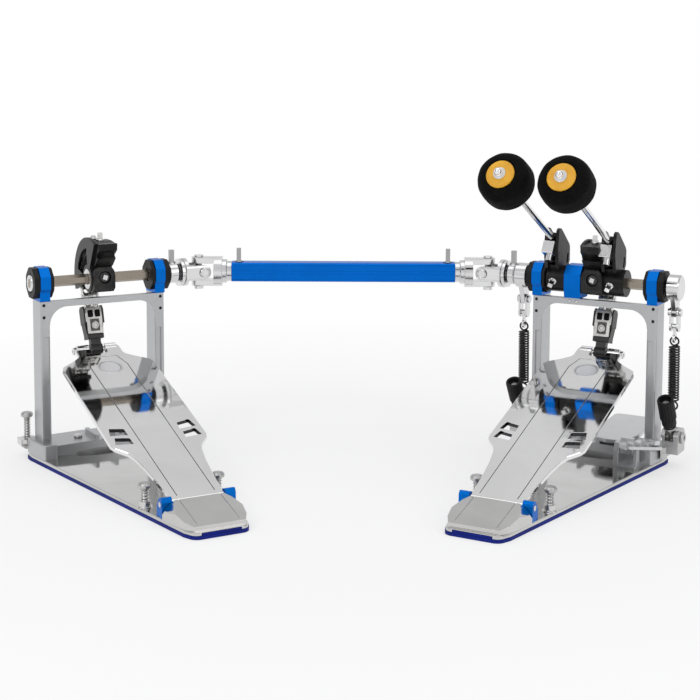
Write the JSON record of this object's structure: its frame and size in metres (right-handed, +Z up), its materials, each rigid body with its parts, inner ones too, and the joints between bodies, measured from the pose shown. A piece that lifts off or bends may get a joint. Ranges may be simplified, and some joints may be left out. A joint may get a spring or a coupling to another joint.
{
  "type": "double bass drum pedal",
  "caption": "Double bass drum pedal: chain driven beaters on a split axle, with a second footboard joined by a telescoping drive shaft and universal joints.",
  "frame": {"origin": "bottom centre of the bounding box, on the floor", "axes": "+X from the left (slave) pedal to the right (main) pedal along the drive shaft, +Y towards the drum, +Z up"},
  "size_m": [0.6736, 0.3508, 0.3162],
  "materials": {
    "satin_aluminium": "satin cast aluminium frame",
    "mirror_steel": "mirror polished plate steel",
    "polished_steel": "polished nickel steel fittings",
    "blue_anodised": "blue anodised, satin",
    "black_coated": "black semi gloss coating",
    "black_nylon": "matt black nylon",
    "blue_rubber": "matt moulded blue rubber",
    "grey_axle": "brushed hexagon bar",
    "chain_steel": "bright roller chain steel",
    "black_felt": "dense pressed black felt",
    "amber_plastic": "amber plastic disc"
  },
  "bodies": {
    "main_base": {"main_rubber_sole": "blue_rubber", "main_base_plate": "mirror_steel", "main_hinge_blocks": "blue_anodised", "main_frame": "satin_aluminium", "main_bearing_blocks": "blue_anodised", "main_bearing_flanges": "black_coated", "main_frame_screws": "polished_steel", "main_anchors": "polished_steel", "hoop_clamp": "satin_aluminium"},
    "right_axle": {"main_axle": "grey_axle", "main_cam": "black_coated", "main_cam_fittings": "polished_steel", "right_rocker": "polished_steel"},
    "left_hub": {"left_beater_hub": "black_coated", "left_hub_shaft": "polished_steel", "left_rocker": "polished_steel", "main_hub_yoke": "polished_steel"},
    "drive_shaft": {"shaft_tube": "blue_anodised", "main_tube_yoke": "polished_steel"},
    "telescope": {"slave_shaft_yoke": "polished_steel"},
    "main_cross": {"main_cross": "polished_steel"},
    "slave_cross": {"slave_cross": "polished_steel"},
    "slave_base": {"slave_rubber_sole": "blue_rubber", "slave_base_plate": "mirror_steel", "slave_hinge_blocks": "blue_anodised", "slave_frame": "satin_aluminium", "slave_bearing_blocks": "blue_anodised", "slave_bearing_flanges": "black_coated", "slave_frame_screws": "polished_steel"},
    "slave_axle": {"slave_axle": "grey_axle", "slave_cam": "black_coated", "slave_cam_fittings": "polished_steel", "slave_hub_yoke": "polished_steel"},
    "clamp_lever": {"clamp_lever": "satin_aluminium"},
    "main_spurs": {"main_spurs": "polished_steel"},
    "slave_spurs": {"slave_spurs": "polished_steel"},
    "left_beater": {"left_beater_rod": "polished_steel", "left_beater_head": "black_felt", "left_beater_disc": "amber_plastic"},
    "left_swing_link": {"left_swing_link": "polished_steel"},
    "left_spring": {"left_spring": "black_coated"},
    "left_tension_nut": {"left_tension_nut": "black_nylon"},
    "right_beater": {"right_beater_rod": "polished_steel", "right_beater_head": "black_felt", "right_beater_disc": "amber_plastic"},
    "right_swing_link": {"right_swing_link": "polished_steel"},
    "right_spring": {"right_spring": "black_coated"},
    "right_tension_nut": {"right_tension_nut": "black_nylon"},
    "main_footboard": {"main_footboard": "mirror_steel"},
    "main_swivel": {"main_swivel": "black_coated"},
    "main_chain_link_3": {"main_chain_link_3": "chain_steel"},
    "main_chain_link_2": {"main_chain_link_2": "chain_steel"},
    "main_chain_link_1": {"main_chain_link_1": "chain_steel"},
    "main_chain_run": {"main_chain_run": "chain_steel"},
    "slave_footboard": {"slave_footboard": "mirror_steel"},
    "slave_swivel": {"slave_swivel": "black_coated"},
    "slave_chain_link_3": {"slave_chain_link_3": "chain_steel"},
    "slave_chain_link_2": {"slave_chain_link_2": "chain_steel"},
    "slave_chain_link_1": {"slave_chain_link_1": "chain_steel"},
    "slave_chain_run": {"slave_chain_run": "chain_steel"}
  },
  "joints": [
    {"name": "right_axle_turn", "type": "hinge", "parent": "main_base", "child": "right_axle", "pos_m": [0.25177, 0.0996, 0.18], "axis": [-0.8746, 0.4848, 0], "range_deg": [0, 50.6], "stiffness_Nm_per_rad": 0.6, "springref_deg": -40.11},
    {"name": "left_hub_turn", "type": "hinge", "parent": "main_base", "child": "left_hub", "pos_m": [0.25177, 0.0996, 0.18], "axis": [-0.8746, 0.4848, 0], "range_deg": [0, 50.6], "stiffness_Nm_per_rad": 0.9, "springref_deg": -40.11},
    {"name": "slave_place", "type": "slide", "parent": "main_base", "child": "slave_base", "axis": [-1, 0, 0], "range_m": [0, 0.06]},
    {"name": "slave_axle_turn", "type": "hinge", "parent": "slave_base", "child": "slave_axle", "pos_m": [-0.25253, 0.10527, 0.18], "axis": [-0.8746, -0.4848, 0], "range_deg": [0, 50.62]},
    {"name": "drive_shaft_turn", "type": "hinge", "parent": "main_base", "child": "drive_shaft", "pos_m": [0.14621, 0.15812, 0.18], "axis": [-1, 0, 0], "range_deg": [0, 54.33]},
    {"name": "telescope_turn", "type": "hinge", "parent": "slave_base", "child": "telescope", "pos_m": [-0.1572, 0.15812, 0.18], "axis": [-1, 0, 0], "range_deg": [0, 54.33]},
    {"name": "main_cross_tilt", "type": "hinge", "parent": "drive_shaft", "child": "main_cross", "pos_m": [0.14621, 0.15812, 0.18], "axis": [0, 0, 1], "range_deg": [0, 11.1]},
    {"name": "slave_cross_tilt", "type": "hinge", "parent": "telescope", "child": "slave_cross", "pos_m": [-0.1572, 0.15812, 0.18], "axis": [0, 0, -1], "range_deg": [0, 11.1]},
    {"name": "main_footboard_tilt", "type": "hinge", "parent": "main_base", "child": "main_footboard", "pos_m": [0.13105, -0.11818, 0.018], "axis": [-0.8746, 0.4848, 0], "range_deg": [0, 7.31]},
    {"name": "main_swivel_tilt", "type": "hinge", "parent": "main_footboard", "child": "main_swivel", "pos_m": [0.25856, 0.11184, 0.104], "axis": [-0.8746, 0.4848, 0], "range_deg": [-17.65, 0]},
    {"name": "main_chain_link_3_bend", "type": "hinge", "parent": "right_axle", "child": "main_chain_link_3", "pos_m": [0.2644, 0.12239, 0.20484], "axis": [-0.8746, 0.4848, 0], "range_deg": [-10.18, 0]},
    {"name": "main_chain_link_2_bend", "type": "hinge", "parent": "main_chain_link_3", "child": "main_chain_link_2", "pos_m": [0.2678, 0.12851, 0.19425], "axis": [-0.8746, 0.4848, 0], "range_deg": [-20.33, 0]},
    {"name": "main_chain_link_1_bend", "type": "hinge", "parent": "main_chain_link_2", "child": "main_chain_link_1", "pos_m": [0.2692, 0.13104, 0.18188], "axis": [-0.8746, 0.4848, 0], "range_deg": [-20.33, 0]},
    {"name": "main_chain_run_bend", "type": "hinge", "parent": "main_chain_link_1", "child": "main_chain_run", "pos_m": [0.26843, 0.12966, 0.16928], "axis": [-0.8746, 0.4848, 0], "range_deg": [-10.18, 0]},
    {"name": "slave_footboard_tilt", "type": "hinge", "parent": "slave_base", "child": "slave_footboard", "pos_m": [-0.13181, -0.11251, 0.018], "axis": [-0.8746, -0.4848, 0], "range_deg": [0, 7.31]},
    {"name": "slave_swivel_tilt", "type": "hinge", "parent": "slave_footboard", "child": "slave_swivel", "pos_m": [-0.25932, 0.11751, 0.104], "axis": [-0.8746, -0.4848, 0], "range_deg": [-17.65, 0]},
    {"name": "slave_chain_link_3_bend", "type": "hinge", "parent": "slave_axle", "child": "slave_chain_link_3", "pos_m": [-0.26516, 0.12806, 0.20484], "axis": [-0.8746, -0.4848, 0], "range_deg": [-10.18, 0]},
    {"name": "slave_chain_link_2_bend", "type": "hinge", "parent": "slave_chain_link_3", "child": "slave_chain_link_2", "pos_m": [-0.26856, 0.13419, 0.19425], "axis": [-0.8746, -0.4848, 0], "range_deg": [-20.33, 0]},
    {"name": "slave_chain_link_1_bend", "type": "hinge", "parent": "slave_chain_link_2", "child": "slave_chain_link_1", "pos_m": [-0.26996, 0.13671, 0.18188], "axis": [-0.8746, -0.4848, 0], "range_deg": [-20.33, 0]},
    {"name": "slave_chain_run_bend", "type": "hinge", "parent": "slave_chain_link_1", "child": "slave_chain_run", "pos_m": [-0.26919, 0.13533, 0.16928], "axis": [-0.8746, -0.4848, 0], "range_deg": [-10.18, 0]},
    {"name": "left_swing_link_turn", "type": "hinge", "parent": "left_hub", "child": "left_swing_link", "pos_m": [0.18277, 0.14013, 0.155], "axis": [-0.8746, 0.4848, 0], "range_deg": [-61.34, 0]},
    {"name": "left_spring_pull", "type": "slide", "parent": "left_swing_link", "child": "left_spring", "axis": [0.01, 0.018, -0.9998], "range_m": [0, 0.00997], "deforming": ["left_spring"]},
    {"name": "left_tension_nut_turn", "type": "hinge", "parent": "main_base", "child": "left_tension_nut", "pos_m": [0.17598, 0.12789, 0.05248], "axis": [-0.2424, -0.4373, 0.866], "continuous": true},
    {"name": "right_swing_link_turn", "type": "hinge", "parent": "right_axle", "child": "right_swing_link", "pos_m": [0.32271, 0.06256, 0.155], "axis": [-0.8746, 0.4848, 0], "range_deg": [-61.34, 0]},
    {"name": "right_spring_pull", "type": "slide", "parent": "right_swing_link", "child": "right_spring", "axis": [0.01, 0.018, -0.9998], "range_m": [0, 0.00997], "deforming": ["right_spring"]},
    {"name": "right_tension_nut_turn", "type": "hinge", "parent": "main_base", "child": "right_tension_nut", "pos_m": [0.31592, 0.05032, 0.05248], "axis": [-0.2424, -0.4373, 0.866], "continuous": true},
    {"name": "left_beater_height", "type": "slide", "parent": "left_hub", "child": "left_beater", "axis": [-0.4248, -0.7664, 0.4818], "range_m": [-0.012, 0.02]},
    {"name": "right_beater_height", "type": "slide", "parent": "right_axle", "child": "right_beater", "axis": [-0.4248, -0.7664, 0.4818], "range_m": [-0.012, 0.02]},
    {"name": "clamp_lever_swing", "type": "hinge", "parent": "main_base", "child": "clamp_lever", "pos_m": [0.27514, 0.03862, 0.024], "axis": [-0.8746, 0.4848, 0], "range_deg": [-25, 0]},
    {"name": "main_spurs_height", "type": "slide", "parent": "main_base", "child": "main_spurs", "axis": [0, 0, -1], "range_m": [-0.008, 0.0055]},
    {"name": "slave_spurs_height", "type": "slide", "parent": "slave_base", "child": "slave_spurs", "axis": [0, 0, -1], "range_m": [-0.008, 0.0055]}
  ],
  "couplings": [
    {"joint": "slave_axle_turn", "follows": "left_hub_turn", "ratio": 1},
    {"joint": "drive_shaft_turn", "follows": "left_hub_turn", "ratio": 1.0732},
    {"joint": "telescope_turn", "follows": "left_hub_turn", "ratio": 1.0732},
    {"joint": "main_cross_tilt", "follows": "left_hub_turn", "ratio": 0.21893},
    {"joint": "slave_cross_tilt", "follows": "left_hub_turn", "ratio": 0.21893},
    {"joint": "main_footboard_tilt", "follows": "right_axle_turn", "ratio": 0.14404},
    {"joint": "main_swivel_tilt", "follows": "right_axle_turn", "ratio": -0.34842},
    {"joint": "main_chain_link_3_bend", "follows": "right_axle_turn", "ratio": -0.20073},
    {"joint": "main_chain_link_2_bend", "follows": "right_axle_turn", "ratio": -0.40146},
    {"joint": "main_chain_link_1_bend", "follows": "right_axle_turn", "ratio": -0.40146},
    {"joint": "main_chain_run_bend", "follows": "right_axle_turn", "ratio": -0.20073},
    {"joint": "slave_footboard_tilt", "follows": "left_hub_turn", "ratio": 0.14404},
    {"joint": "slave_swivel_tilt", "follows": "left_hub_turn", "ratio": -0.34842},
    {"joint": "slave_chain_link_3_bend", "follows": "left_hub_turn", "ratio": -0.20073},
    {"joint": "slave_chain_link_2_bend", "follows": "left_hub_turn", "ratio": -0.40146},
    {"joint": "slave_chain_link_1_bend", "follows": "left_hub_turn", "ratio": -0.40146},
    {"joint": "slave_chain_run_bend", "follows": "left_hub_turn", "ratio": -0.20073},
    {"joint": "left_swing_link_turn", "follows": "left_hub_turn", "ratio": -1.2119},
    {"joint": "left_spring_pull", "follows": "left_hub_turn", "m_per_rad": 0.011172},
    {"joint": "right_swing_link_turn", "follows": "right_axle_turn", "ratio": -1.2119},
    {"joint": "right_spring_pull", "follows": "right_axle_turn", "m_per_rad": 0.011172}
  ]
}
